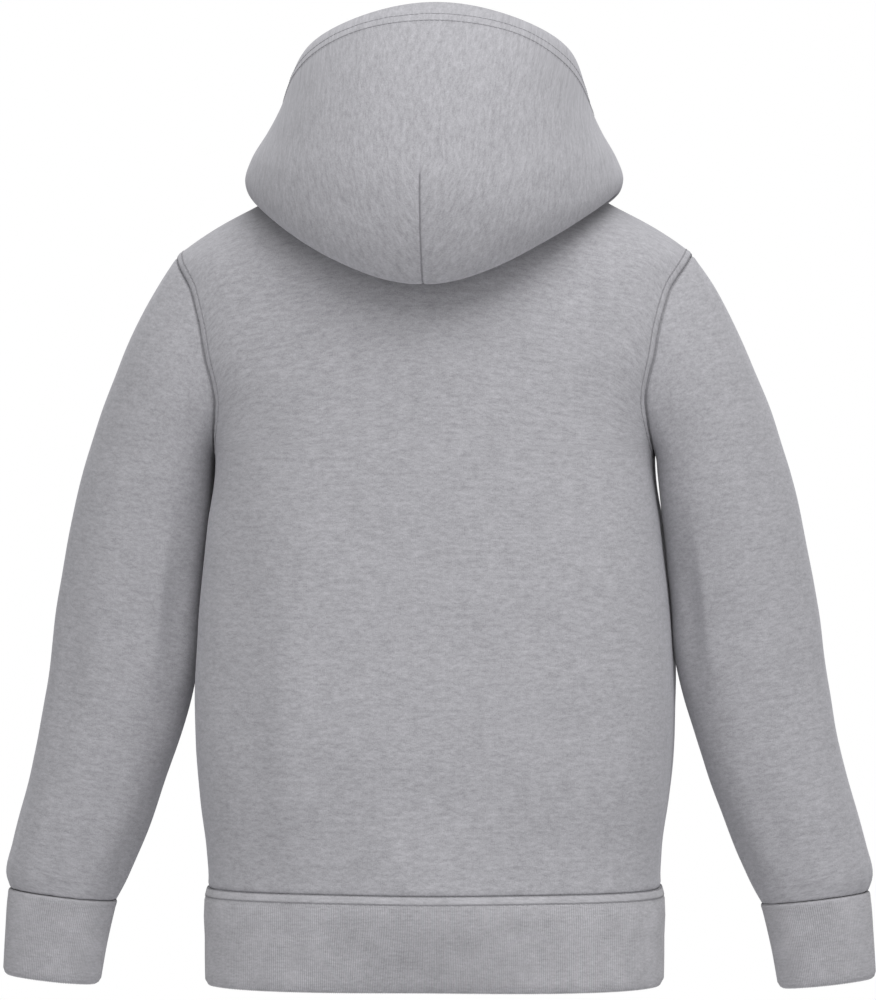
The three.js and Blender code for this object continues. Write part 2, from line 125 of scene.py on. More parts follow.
# The yarn's layers: streaks, flecks, grain and mottle, each as wide, high, detail, seed and share.
FLEECE_YARN = [
    (0.0080, 0.0026, 3.0, 1.0, 0.31), (0.0028, 0.0014, 2.0, 5.0, 0.30),
    (0.0007, 0.0007, 1.0, 9.0, 0.31), (0.022, 0.0154, 2.0, 13.0, 0.08),
]
WALE = 0.0010
COURSE = 0.0008
WALE_HEIGHT = 0.25
COURSE_HEIGHT = 0.2
KNIT_HEIGHT = 0.10
FUZZ = {"wide": 0.00091, "high": 0.0007, "detail": 3.0, "seed": 21.0}
FUZZ_HEIGHT = 0.55
NAP = {"wide": 0.0024, "high": 0.0013, "detail": 3.0, "seed": 27.0}
NAP_HEIGHT = 0.45
NAP_MORE_INSIDE = 1.2
GROOVE_WIDTH = 0.00055
# Painted shade: how much darker the colour is drawn in each sewn groove.
GROOVE_PAINTED_SHADE = 0.27
GROOVE_DEPTH = 1.6
FLEECE_BUMP = (0.55, 0.00035)
FLEECE_ROUGHNESS = 0.92
FLEECE_SHEEN = 0.35
SHEEN_TINT = (0.9, 0.9, 0.95, 1.0)
CLOTH_SPECULAR = 0.18
SHEEN_ROUGHNESS = 0.55


class Wire:
    """A shader socket that takes part in sums: each operator adds its Math node."""

    def __init__(self, paint, socket):
        self.paint = paint
        self.socket = socket

    def math(self, operation, *others):
        return self.paint.add("ShaderNodeMath", {"operation": operation}, dict(enumerate((self, *others))))

    def __add__(self, other):
        return self.math("ADD", other)

    def __sub__(self, other):
        return self.math("SUBTRACT", other)

    def __rsub__(self, other):
        return self.paint.add("ShaderNodeMath", {"operation": "SUBTRACT"}, {0: other, 1: self})

    def __mul__(self, other):
        return self.math("MULTIPLY", other)

    def __truediv__(self, other):
        return self.math("DIVIDE", other)

    def __pow__(self, other):
        return self.math("POWER", other)

    __radd__ = __add__
    __rmul__ = __mul__

    def clamped(self):
        return self.math("MAXIMUM", 0.0).math("MINIMUM", 1.0)

    def near(self, place, width):
        """1 where this value is at a place, falling softly to 0 at a width from it."""
        return (1 - ((self - place) / width) ** 2).math("MAXIMUM", 0.0) ** 2


class Paint:
    """One material and the nodes in it."""

    def __init__(self, name):
        self.material = bpy.data.materials.new(name)
        self.material.use_nodes = True
        self.tree = self.material.node_tree
        self.shader = self.tree.nodes["Principled BSDF"]

    def add(self, kind, settings=None, inputs=None, output=0):
        node = self.tree.nodes.new(kind)
        for key, value in (settings or {}).items():
            setattr(node, key, value)
        for key, value in (inputs or {}).items():
            self.join(value, node.inputs[key])
        return Wire(self, node.outputs[output])

    def join(self, value, socket):
        if isinstance(value, Wire):
            self.tree.links.new(value.socket, socket)
        else:
            socket.default_value = value

    def fact(self, name):
        return self.add("ShaderNodeAttribute", {"attribute_name": name}, output="Fac")

    def patches(self, across, along, wide, high, detail=2.0, seed=0.0):
        """Noise stretched to a width and a height, on two coordinates in metres."""
        spread = self.add("ShaderNodeCombineXYZ", {}, {0: across / wide, 1: along / high, 2: seed})
        settings = {"noise_dimensions": "3D"}
        return self.add("ShaderNodeTexNoise", settings, {"Vector": spread, "Scale": 1.0, "Detail": detail})


def cloth_uv(paint):
    uv = paint.add("ShaderNodeUVMap", {"uv_map": "UVMap"})
    apart = paint.add("ShaderNodeSeparateXYZ", {}, {0: uv})
    return apart, Wire(paint, apart.socket.node.outputs[1])


def heather(paint, across, along, layers, contrast):
    """How pale the yarn is at a place: its layers of noise added up and set further apart."""
    yarn = None
    for wide, high, detail, seed, share in layers:
        layer = paint.patches(across, along, wide, high, detail, seed) * share
        yarn = layer if yarn is None else yarn + layer
    shade = ((yarn - 0.5) * contrast + 0.5).clamped()
    return shade * (HEATHER_PALE - HEATHER_DARK) + HEATHER_DARK


def tinted(paint, colour, shade):
    """A colour made darker or paler, as a colour link."""
    by = paint.add("ShaderNodeCombineXYZ", {}, {0: shade, 1: shade, 2: shade})
    return paint.add("ShaderNodeVectorMath", {"operation": "MULTIPLY"}, {0: by, 1: colour})


def finish_cloth(paint, colour, shade, height, bump, roughness, sheen):
    """Joins a cloth's colour and relief to its shader, and sets how it takes the light."""
    strength, distance = bump
    relief = paint.add("ShaderNodeBump", {}, {"Strength": strength, "Distance": distance, "Height": height})
    paint.join(relief, paint.shader.inputs["Normal"])
    paint.join(tinted(paint, colour, shade), paint.shader.inputs["Base Color"])
    paint.shader.inputs["Roughness"].default_value = roughness
    paint.shader.inputs["Specular IOR Level"].default_value = CLOTH_SPECULAR
    paint.shader.inputs["Sheen Weight"].default_value = sheen
    paint.shader.inputs["Sheen Roughness"].default_value = SHEEN_ROUGHNESS
    return paint.material


def fleece(name, streaks_upright=False, lines=()):
    """The fleece of one piece. Each line is an attribute, and its value where the cloth is sewn; the groove
    there is darkened with painted shade.
    """
    paint = Paint(name)
    u, v = cloth_uv(paint)
    across, along = (v, u) if streaks_upright else (u, v)
    shade = heather(paint, across, along, FLEECE_YARN, HEATHER_CONTRAST)
    inside = paint.fact("inside")
    shade = shade * (inside * (INSIDE_PALE - 1) + 1)
    pressed = None
    for fact, place in lines:
        groove = paint.fact(fact).near(place, GROOVE_WIDTH)
        pressed = groove if pressed is None else pressed + groove
    wales = (u * (2 * math.pi / WALE)).math("SINE") * WALE_HEIGHT
    courses = (v * (2 * math.pi / COURSE)).math("SINE") * COURSE_HEIGHT
    fuzz = paint.patches(across, along, **FUZZ) * FUZZ_HEIGHT
    nap = paint.patches(across, along, **NAP) * (inside * NAP_MORE_INSIDE + NAP_HEIGHT)
    height = (wales + courses) * KNIT_HEIGHT * (1 - inside) + fuzz + nap
    if pressed is not None:
        pressed = (pressed * (1 - inside)).clamped()
        # Painted shade: the colour is darkened in each sewn groove, where shade would fall.
        shade = shade * (1 - pressed * GROOVE_PAINTED_SHADE)
        height = height - pressed * GROOVE_DEPTH
    paint.shader.inputs["Sheen Tint"].default_value = SHEEN_TINT
    return finish_cloth(paint, FLEECE_COLOUR, shade, height, FLEECE_BUMP, FLEECE_ROUGHNESS, FLEECE_SHEEN)


# The body: a back and a front cut from fleece and joined at the shoulders and down the sides. Both are laid
# out on one rounded form, given by level sections in millimetres, as the wearer fills it.
FLEECE_THICK = 2.0
SEAM_GAP = 0.3
BACK_NECK_DROP = 15
FRONT_NECK_DROP = 55
NECK_CURVE = 1.5
SHOULDER_DROP = 38
ARMPIT_DROP = 143
HEM_SEAM_DROP = 378
ARMHOLE_BACK = 48
ARMHOLE_FRONT = 52
ARM_SQUARENESS = 2.2
QUARTER = math.pi / 2

TORSO_COLUMNS = "z side back front square"
TORSO = [
    (4, 68, 43, 45, 2.0), (0, 76, 46, 49, 2.0), (-11, 95.5, 52, 56, 2.05), (-22, 116, 57, 61, 2.1),
    (-32, 131.5, 61, 65, 2.2), (-38, 139, 63, 67, 2.3), (-60, 143, 69, 72, 2.6), (-90, 137, 74, 77, 2.8),
    (-120, 122.5, 77, 81, 2.9), (-143, 118, 79, 83, 3.0), (-185, 122, 81, 86, 3.1),
    (-240, 127.5, 84, 89, 3.1), (-285, 129, 87, 91, 3.0), (-330, 126, 86, 89, 2.9),
    (-360, 122, 82, 85, 2.8), (-378, 122, 81, 84, 2.8),
    (-384, 123.4, 82.5, 85.5, 2.8), (-405, 123.6, 82.5, 85.5, 2.8), (-430, 124.5, 83.5, 86.5, 2.8),
]
# Soft troughs, or swells where the depth is below 0: turn, top, bottom, width and depth.
BODY_FOLDS = [
    (58, -105, -395, 12, 6.6), (-60, -190, -405, 13, 2.2), (0, -321, -447, 29, -10.5),
    (138, -200, -376, 9, 3.0), (-44, -205, -410, 12, 3.6), (42, -175, -405, 5, -1.5),
    (-128, -240, -374, 8, 2.6), (98, -190, -380, 14, 1.2), (-103, -60, -350, 6.5, -2.0),
    (30, -300, -380, 7, 0.7), (51, -200, -405, 4.5, 0.8), (-22, -310, -382, 9, 0.5),
    (12, -318, -384, 7, -0.5), (-38, -295, -380, 8, 0.6), (160, -300, -380, 8, 0.9),
    (-165, -290, -380, 9, 0.8), (-74, -125, -280, 10, 0.8), (56, -70, -175, 8, 0.9),
    (-52, -75, -170, 8, 0.8), (112, -120, -300, 9, 1.2), (-135, -100, -230, 9, 1.2),
]


def smooth_curve(at, value):
    """A smooth curve through a table's values, read at numbers or arrays."""
    order = np.argsort(at)
    at, value = np.array(at, float)[order], np.array(value, float)[order]
    gap = np.diff(at)
    rise = np.diff(value) / gap
    middle = (rise[:-1] * gap[1:] + rise[1:] * gap[:-1]) / (gap[:-1] + gap[1:])
    slope = np.concatenate([rise[:1], middle, rise[-1:]])

    def read(x):
        i = np.clip(np.searchsorted(at, x, side="left") - 1, 0, len(gap) - 1)
        t = (x - at[i]) / gap[i]
        lean = slope[i] * (1 - t) - slope[i + 1] * t
        return value[i] + (value[i + 1] - value[i]) * t * t * (3 - 2 * t) + gap[i] * t * (1 - t) * lean

    return read


def curves(columns, rows):
    """A curve for each column of a table, against its first column."""
    names = columns.split()
    by_column = list(zip(*rows))
    return {name: smooth_curve(by_column[0], values) for name, values in zip(names[1:], by_column[1:])}


def eased(t):
    t = np.clip(t, 0, 1)
    return t * t * (3 - 2 * t)


def troughs(rows, turn, at):
    """The depth of a table's troughs: turn and width in degrees, and each fades out towards its two ends."""
    total = 0
    for middle, start, end, width, depth in rows:
        off = turn - math.radians(middle)
        off = np.arctan2(np.sin(off), np.cos(off)) / math.radians(width)
        along = np.sin(math.pi * np.clip((at - start) / (end - start), 0, 1)) ** 2
        total = total + depth * np.exp(-off * off) * along
    return total


def rounded_reach(turn, back, front, side, square):
    """How far a rounded section reaches in a direction, turned from the back towards the wearer's left."""
    depth = np.where(np.cos(turn) > 0, back, front)
    return (np.abs(np.cos(turn) / depth) ** square + np.abs(np.sin(turn) / side) ** square) ** (-1 / square)


torso = curves(TORSO_COLUMNS, TORSO)


def on_body(turn, z):
    section = (torso["back"](z), torso["front"](z), torso["side"](z), torso["square"](z))
    reach = rounded_reach(turn, *section) - troughs(BODY_FOLDS, turn, z)
    return np.stack([reach * np.sin(turn), reach * np.cos(turn), z + 0 * turn], axis=-1)


def outward(surface, turn, along, step):
    """The directions out of a surface, from its slopes round the piece and along it."""
    across = surface(turn + step, along) - surface(turn - step, along)
    up = surface(turn, along + step) - surface(turn, along - step)
    out = np.cross(up, across)
    return out / np.linalg.norm(out, axis=-1, keepdims=True)


def neckline_z(turn):
    drop = np.where(np.cos(turn) > 0, BACK_NECK_DROP, FRONT_NECK_DROP)
    return -drop * np.abs(np.cos(turn)) ** NECK_CURVE


def round_arm(angle):
    return (1 - np.abs(np.cos(angle)) ** ARM_SQUARENESS) ** (1 / ARM_SQUARENESS)


def armhole(share, behind):
    """The armhole's edge from the armpit to the shoulder, as turns and heights on the body."""
    angle = math.pi * share
    z = -ARMPIT_DROP + (ARMPIT_DROP - SHOULDER_DROP) * (1 - np.cos(angle)) / 2
    y = round_arm(angle) * np.where(behind, ARMHOLE_BACK, ARMHOLE_FRONT)
    depth = np.where(behind, torso["back"](z), torso["front"](z))
    square = torso["square"](z)
    x = torso["side"](z) * (1 - (y / depth) ** square) ** (1 / square)
    turn = np.arctan2(x, y)
    return np.where(behind, turn, math.pi - turn), z


def cut_area(grid, ring=False):
    """The area of a grid of points in millimetres, in square metres."""
    if ring:
        grid = np.concatenate([grid, grid[:1]])
    one, other = grid[1:, 1:] - grid[:-1, :-1], grid[1:, :-1] - grid[:-1, 1:]
    return float(np.linalg.norm(np.cross(one, other), axis=-1).sum() / 2 * MM ** 2)


def ends_close(count, fine=5, tight=0.0016):
    """Shares from 0 to 1 that crowd together towards both ends, where the cloth turns into a seam."""
    close = tight * np.arange(fine) ** 1.5
    middle = np.linspace(close[-1], 1 - close[-1], count)
    return np.concatenate([close[:-1], middle, 1 - close[:-1][::-1]])


def make_wall(name, outer, inner, ring, uv, facts, material, fold=None):
    """A closed wall from two grids of points, in millimetres, with its cloth map and attributes."""
    strips, count = outer.shape[0], outer.shape[1]
    bridge = [] if fold is None else [fold]
    loop = np.concatenate([outer, *[f[:, None] for f in bridge], inner[:, ::-1]], axis=1)
    length = loop.shape[1]
    points = loop.reshape(-1, 3) * MM
    spans = strips if ring else strips - 1
    s, k = np.meshgrid(np.arange(spans), np.arange(length), indexing="ij")
    s2, k2 = (s + 1) % strips, (k + 1) % length
    quads = np.stack([s * length + k, s2 * length + k, s2 * length + k2, s * length + k2], -1).reshape(-1, 4)
    faces = [quads]
    if not ring:
        a = np.arange(length // 2 - 1)
        cap = np.stack([a, a + 1, length - 2 - a, length - 1 - a], -1)
        faces += [cap, (cap + (strips - 1) * length)[:, ::-1]]
    quads = np.concatenate(faces)
    p = points[quads]
    if np.einsum("ij,ij->i", p[:, 0], np.cross(p[:, 1] - p[:, 0], p[:, 2] - p[:, 0])).sum() < 0:
        quads = quads[:, ::-1]
    mesh = bpy.data.meshes.new(name)
    mesh.from_pydata(points.tolist(), [], quads.tolist())
    mesh.materials.append(material)
    mesh.polygons.foreach_set("use_smooth", np.ones(len(quads), bool))
    around = np.concatenate([uv, *[uv[:, -1:] for _ in bridge], uv[:, ::-1]], axis=1).reshape(-1, 2)
    corner = np.empty(len(mesh.loops), int)
    mesh.loops.foreach_get("vertex_index", corner)
    corner_uv = around[corner]
    if ring:
        whole = np.ptp(uv[..., 0])
        per_face = corner_uv.reshape(-1, 4, 2)
        torn = np.ptp(per_face[..., 0], axis=1) > whole / 2
        low = per_face[..., 0] < per_face[..., 0].mean(axis=1, keepdims=True)
        step = whole * strips / (strips - 1)
        per_face[..., 0] += np.where(torn[:, None] & low, step, 0)
        corner_uv = per_face.reshape(-1, 2)
    layer = mesh.uv_layers.new(name="UVMap")
    layer.data.foreach_set("uv", corner_uv.astype(np.float32).ravel())
    values = {"inside": (np.zeros((strips, count)), np.ones((strips, count)))}
    values |= {key: (value, value) for key, value in facts.items()}
    for key, (outside_value, inside_value) in values.items():
        parts = [outside_value, *[outside_value[:, -1:] for _ in bridge], inside_value[:, ::-1]]
        layer = mesh.attributes.new(key, "FLOAT", "POINT")
        layer.data.foreach_set("value", np.concatenate(parts, axis=1).astype(np.float32).ravel())
    mesh.validate()
    piece = bpy.data.objects.new(name, mesh)
    bpy.context.collection.objects.link(piece)
    return piece


def cloth_map(grid, middle):
    """Cloth measured in metres: across from the middle strip, and along from the first place."""
    across = np.linalg.norm(np.diff(grid, axis=0), axis=-1)
    across = np.concatenate([np.zeros((1, grid.shape[1])), np.cumsum(across, axis=0)])
    along = np.linalg.norm(np.diff(grid, axis=1), axis=-1)
    along = np.concatenate([np.zeros((grid.shape[0], 1)), np.cumsum(along, axis=1)], axis=1)
    return np.stack([(across - across[middle]) * MM, along * MM], axis=-1)


def distance_to(points, line):
    """How far each point is from a line of points, in metres."""
    flat = points.reshape(-1, 3)
    start, step = line[:-1], np.diff(line, axis=0)
    size = np.maximum((step ** 2).sum(-1), 1e-9)
    nearest = np.full(len(flat), np.inf)
    for i in range(len(start)):
        t = np.clip(((flat - start[i]) @ step[i]) / size[i], 0, 1)
        nearest = np.minimum(nearest, np.linalg.norm(flat - start[i] - t[:, None] * step[i], axis=-1))
    return nearest.reshape(points.shape[:-1]) * MM


def turned_in(outer, out, distance, deep=0.75, wide=0.0011):
    """Rolls the cloth's edge into its seam."""
    return outer - out * (deep * np.exp(-(distance / wide) ** 2))[..., None]


def uneven(points, size, height, seed):
    """Very slight hollows and swells, as no cloth hangs perfectly even. size and height in millimetres."""
    flat = points.reshape(-1, 3)
    shift = Vector((seed, seed * 1.7, seed * 0.6))
    values = np.array([noise.noise(Vector(p) / size + shift) for p in flat])
    return height * values.reshape(points.shape[:-1])


PANEL_NECK_SHARE = 10 / 14
PANEL_SIDE_SHARE = 9 / 19
PANEL_COLUMNS = 82
PANEL_ROWS = 128
TWIN_NEEDLE = 0.0036
NEAR_STITCH = 0.0007
RAISED = 0.30
RAISED_EDGE = 0.0012
PANEL_SWELL = (34, 0.9)
PANEL_PUCKER = (5, 0.28)
PUCKER_SEED = 5
PUCKERS_REACH = 0.007
CALM_EDGE = 0.02
SHORT_STEP = 0.002


def panel_grid(behind, shares, rows):
    """The turns and heights of a panel, whose columns fan out from the neckline and shoulder seams."""
    up = np.clip((rows - PANEL_SIDE_SHARE) / (1 - PANEL_SIDE_SHARE), 0, 1)
    hole_turn, hole_z = armhole(up, behind)
    hole_away = hole_turn if behind else math.pi - hole_turn
    side_z = -HEM_SEAM_DROP + SEAM_GAP / 2 + (HEM_SEAM_DROP - ARMPIT_DROP) * rows / PANEL_SIDE_SHARE
    edge_z = np.where(rows <= PANEL_SIDE_SHARE, np.minimum(side_z, -ARMPIT_DROP), hole_z)
    edge_away = np.where(rows <= PANEL_SIDE_SHARE, QUARTER, hole_away)
    share = np.abs(shares)
    top_away = QUARTER * np.minimum(1, share / PANEL_NECK_SHARE)
    shoulder = np.maximum(0, share - PANEL_NECK_SHARE) / (1 - PANEL_NECK_SHARE)
    top_z = neckline_z(top_away if behind else math.pi - top_away) - SHOULDER_DROP * shoulder
    bend = eased(up)[None, :]
    z = edge_z[None, :] + bend * (top_z[:, None] + SHOULDER_DROP)
    seam = QUARTER - SEAM_GAP / 2 / torso["side"](z)
    away = bend * (top_away[:, None] - QUARTER * share[:, None]) + share[:, None] * edge_away[None, :]
    away = np.minimum(seam, away) * np.sign(shares)[:, None]
    return (away if behind else math.pi - away), z


def make_panel(name, behind, material, seed):
    """The back or the front: its wall, and the area of its cut."""
    half = ends_close(PANEL_COLUMNS)
    shares = np.concatenate([-half[:0:-1], half])
    rows = ends_close(PANEL_ROWS)
    turn, z = panel_grid(behind, shares, rows)
    outer = on_body(turn, z)
    out = outward(on_body, turn, z, SHORT_STEP)
    up = rows >= PANEL_SIDE_SHARE
    holes = [outer[0, up], outer[-1, up]]
    to_armhole = np.minimum(*(distance_to(outer, hole) for hole in holes))
    edges = [outer[0], outer[-1], outer[:, -1], outer[:, 0]]
    to_edge = np.min([distance_to(outer, edge) for edge in edges], axis=0)
    swell = uneven(outer, *PANEL_SWELL, seed) * np.clip(to_edge / CALM_EDGE, 0, 1)
    pucker = uneven(outer, *PANEL_PUCKER, seed + PUCKER_SEED) * np.exp(-(to_armhole / PUCKERS_REACH) ** 2)
    band = RAISED * (eased(to_armhole / RAISED_EDGE) - eased((to_armhole - TWIN_NEEDLE) / RAISED_EDGE))
    inner = outer - out * FLEECE_THICK
    lifted = outer + out * (swell + pucker + band)[..., None]
    shown = turned_in(lifted, out, to_edge)
    uv = cloth_map(outer, len(half) - 1)
    inner = inner + out * swell[..., None]
    piece = make_wall(name, shown, inner, False, uv, {"seam": to_armhole}, material)
    return piece, cut_area(outer)


ARMHOLE_LINES = (NEAR_STITCH, NEAR_STITCH + TWIN_NEEDLE)
body_fleece = fleece("body_fleece", lines=[("seam", line) for line in ARMHOLE_LINES])
back_panel, back_area = make_panel("back_panel", True, body_fleece, 3.0)
front_panel, front_area = make_panel("front_panel", False, body_fleece, 8.0)
for panel, node, area in ((back_panel, "back", back_area), (front_panel, "front", front_area)):
    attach(panel, "root")
    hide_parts(node)

# The sleeves: fleece tubes set into the armholes and hanging beside the body, with one seam at the underarm.
# Their sections give the points furthest from the body and nearest to it, in millimetres.
SLEEVE_COLUMNS = "down outer_x outer_z inner_x inner_z y depth"
SLEEVE = [
    (0, 139, -38, 117.5, -143, 0, 50), (0.06, 150, -54, 119, -147, 0, 48.5),
    (0.15, 163.5, -80, 120.4, -158, -1, 46), (0.25, 175.5, -108, 122.2, -175, -2, 43.5),
    (0.36, 188, -143, 124.9, -200, -4, 41), (0.48, 198, -183, 127.6, -230, -7, 39.5),
    (0.6, 206.5, -228, 129.6, -259, -10, 38), (0.72, 212.3, -272, 138.5, -294, -13, 36.5),
    (0.84, 221.6, -318, 151.5, -331, -16, 35), (0.93, 232.4, -356, 163.5, -363, -18, 33),
    (0.975, 235.6, -373, 171, -379, -19, 31), (1, 233.4, -381, 176, -388, -19, 28.5),
]
SLEEVE_FOLDS = [
    (318, 0.26, 0.76, 14, 3.0), (38, 0.42, 0.8, 16, 2.6), (232, 0.5, 0.9, 14, 1.6),
    (300, 0.3, 0.72, 6, -1.1), (285, 0.74, 1.02, 12, 1.3), (252, 0.82, 1.04, 9, 0.9),
    (330, 0.8, 1.03, 10, 1.1), (70, 0.78, 1.03, 12, 1.4), (110, 0.84, 1.04, 10, 1.0),
    (200, 0.8, 1.04, 10, 1.0), (295, 0.02, 0.24, 12, 0.9), (60, 0.02, 0.26, 12, 1.0),
]
ARMHOLE_BLEND = 0.16
SLEEVE_TURNS = 190
SLEEVE_ROWS = 120
SLEEVE_EDGE = 0.0002
SLEEVE_SWELL = (30, 0.8)
SLEEVE_PUCKER = (5, 0.25)
SLEEVE_PUCKERS_REACH = 0.006
GATHER = (6, 0.5)
GATHER_SEED = 9
GATHER_REACH = 0.012
CUFF_SIDE = {"sharper": 2, "shallower": 0.0008}
LONG_STEP = 0.004
BODY_CENTRE = np.array([torso["side"](-ARMPIT_DROP), 0, -(ARMPIT_DROP + SHOULDER_DROP) / 2])
sleeve_shape = curves(SLEEVE_COLUMNS, SLEEVE)


def on_tube(shape, turn, down):
    """The outside of a sleeve or cuff, turned from the underarm towards the front."""
    across = (1 + np.cos(turn)) / 2
    x = shape["outer_x"](down) * (1 - across) + shape["inner_x"](down) * across
    z = shape["outer_z"](down) * (1 - across) + shape["inner_z"](down) * across
    y = shape["y"](down) - np.sign(np.sin(turn)) * shape["depth"](down) * round_arm(turn)
    return np.stack([x, y, z], axis=-1)


def armhole_round(turn):
    """The armhole's edge all round, at a turn from the underarm towards the front."""
    angle = np.arctan2(np.sin(turn), np.cos(turn))
    return armhole(np.abs(angle) / math.pi, angle < 0)


def on_sleeve(turn, down):
    point = on_tube(sleeve_shape, turn, down)
    follow = 1 - eased(down / ARMHOLE_BLEND)
    to_hole = on_body(*armhole_round(turn)) - on_tube(sleeve_shape, turn, 0 * down)
    point = point + follow[..., None] * to_hole
    middle = (on_tube(sleeve_shape, 0 * turn, down) + on_tube(sleeve_shape, 0 * turn + math.pi, down)) / 2
    inward = middle - point
    inward = inward / np.linalg.norm(inward, axis=-1, keepdims=True)
    return point + inward * troughs(SLEEVE_FOLDS, turn, down)[..., None]


def sewn_on(edge, turn, centre, step=0.02):
    """Where a piece sewn to an edge of the body begins, a seam's gap into the hole."""
    place = edge(turn)
    outer = on_body(*place)
    out = outward(on_body, *place, SHORT_STEP)
    run = on_body(*edge(turn + step)) - on_body(*edge(turn - step))
    into = np.cross(run, out)
    into = into / np.linalg.norm(into, axis=-1, keepdims=True)
    into = into * np.sign(((centre - outer) * into).sum(-1, keepdims=True))
    return outer + into * SEAM_GAP, out


def mirrored(points, side):
    return points * np.array([side, 1, 1])


def make_sleeve(name, side, material, seed):
    """One sleeve: its wall, and the area of its cut."""
    turns = 2 * math.pi * np.arange(SLEEVE_TURNS) / SLEEVE_TURNS
    downs = ends_close(SLEEVE_ROWS, tight=0.0012)[1:]
    turn, down = np.meshgrid(turns, downs, indexing="ij")
    outer = on_sleeve(turn, down)
    out = outward(on_sleeve, turn, down, LONG_STEP)
    first, first_out = sewn_on(armhole_round, turns, BODY_CENTRE)
    outer = np.concatenate([first[:, None], outer], axis=1)
    out = np.concatenate([first_out[:, None], out], axis=1)
    to_seam = distance_to(outer, np.concatenate([first, first[:1]]))
    to_cuff = distance_to(outer, np.concatenate([outer[:, -1], outer[:1, -1]]))
    calm = np.clip(np.minimum(to_seam, to_cuff) / CALM_EDGE, 0, 1)
    swell = uneven(outer, *SLEEVE_SWELL, seed) * calm
    pucker = uneven(outer, *SLEEVE_PUCKER, seed + PUCKER_SEED)
    pucker = pucker * np.exp(-(to_seam / SLEEVE_PUCKERS_REACH) ** 2)
    gather = uneven(outer * np.array([1, 1, 0.25]), *GATHER, seed + GATHER_SEED)
    gather = gather * np.exp(-(to_cuff / GATHER_REACH) ** 2)
    edge = np.minimum(to_seam, to_cuff * CUFF_SIDE["sharper"] + CUFF_SIDE["shallower"])
    shown = turned_in(outer + out * (swell + pucker + gather)[..., None], out, edge)
    inner = outer + out * (swell - FLEECE_THICK)[..., None]
    uv = cloth_map(outer, 0)
    uv[..., 1] -= uv[:, -1:, 1]
    shown, inner = mirrored(shown, side), mirrored(inner, side)
    piece = make_wall(name, shown, inner, True, uv, {"seam": to_seam}, material)
    return piece, cut_area(outer, ring=True)


sleeve_fleece = fleece("sleeve_fleece", lines=[("seam", SLEEVE_EDGE)])
for name, side, seed in (("left", 1, 12.0), ("right", -1, 17.0)):
    sleeve, area = make_sleeve(f"sleeve_{name}_cloth", side, sleeve_fleece, seed)
    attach(sleeve, "root")
    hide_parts(f"sleeve_{name}")

# The hood: fleece cut on the fold over the crown and joined by one seam at the back of the head. It hangs
# behind the neck like a bag, and a hem is turned in round its opening and held by two rows of stitches.
HOOD_COLUMNS = "along back side front back_z side_z front_z arch bow"
HOOD = [
    (0, 54, 76, 71, -15, 0, -55, 1.5, 1.5), (0.035, 55, 77.5, 71.5, -8.5, 5, -54.5, 1.6, 1.7),
    (0.075, 61, 82, 72, -10, 7, -54, 1.8, 2), (0.14, 70.5, 88.5, 73, -31, 2, -53, 2, 2.3),
    (0.22, 81, 94, 74, -53, -4, -52, 2.1, 2.4), (0.3, 93, 99, 75, -56.5, -5, -51, 2.1, 2.4),
    (0.4, 109, 102, 75.5, -38, 3.5, -49.2, 1.9, 2.2), (0.51, 116.5, 98, 75.5, -9, 15, -47.8, 1.8, 2),
    (0.62, 113, 90, 75, 18, 28, -46.6, 1.6, 1.9), (0.73, 104.5, 84, 74.5, 45, 39.5, -45, 1.4, 1.8),
    (0.84, 91, 80, 73.5, 69, 49.5, -44.2, 1.2, 1.6), (0.93, 75, 77, 72.5, 85.5, 57, -43.2, 1.1, 1.5),
    (1, 58, 74.5, 71.5, 94, 62, -42.5, 1, 1.4),
]
HOOD_SQUARENESS = 2.25
HOOD_HEM = 25
HEM_LAYER = 1.4
HOOD_LEAN = -4
NECK_BLEND = 0.2
FRONT_SPLIT = 0.3
BY_THE_SEAM = (0.0015, 0.003, 0.0055, 0.009, 0.014, 0.021, 0.032)
HOOD_TURNS = 104
HOOD_ROWS = 96
HOOD_HEM_ROWS = 22
LENGTH_SAMPLES = 240
SEAM_TOP = 8
SEAM_VALLEY = {"wide": 3.5, "deep": 0.35}
SEAM_GROOVE = {"wide": 0.5, "deep": 0.8}
FAN_SPREAD = 0.055
FAN_LEAN = 0.4
RIM_LINES = (0.0178, 0.0240)
HEM_SHARE = 0.45
SEAM_FADE = 8
RIM_STEPS = 300
RIM_END = 0.01
HOOD_SWELL = (38, 1.0)
HOOD_SWELL_SEED = 23.0
HOOD_PUCKER = (5, 0.22)
HOOD_PUCKER_SEED = 29.0
RIM_CALM = 0.03
RIM_RAISED = RAISED * 1.4
RIM_EDGE = 0.0016
RIM_ROLL = 0.003
RIM_BULGE = 0.9
NO_SEAM = 0.01
hood_shape = curves(HOOD_COLUMNS, HOOD)


def on_hood(turn, along):
    """The outside of the hood, at a turn from the centre back towards the wearer's left."""
    def ring(at):
        shape = {name: read(at) for name, read in hood_shape.items()}
        reach = rounded_reach(turn, shape["back"], shape["front"], shape["side"], HOOD_SQUARENESS)
        behind = np.cos(turn) > 0
        centre = np.abs(np.cos(turn)) ** np.where(behind, shape["arch"], shape["bow"])
        middle_z = np.where(behind, shape["back_z"], shape["front_z"])
        z = shape["side_z"] + (middle_z - shape["side_z"]) * centre
        return np.stack([reach * np.sin(turn), reach * np.cos(turn), z], axis=-1)

    follow = 1 - eased(along / NECK_BLEND)
    seam = on_body(turn, neckline_z(turn)) - ring(0 * along)
    point = ring(along) + follow[..., None] * seam
    point[..., 0] += HOOD_LEAN * eased(2 * along - 1) * np.cos(turn / 2) ** 2
    return point


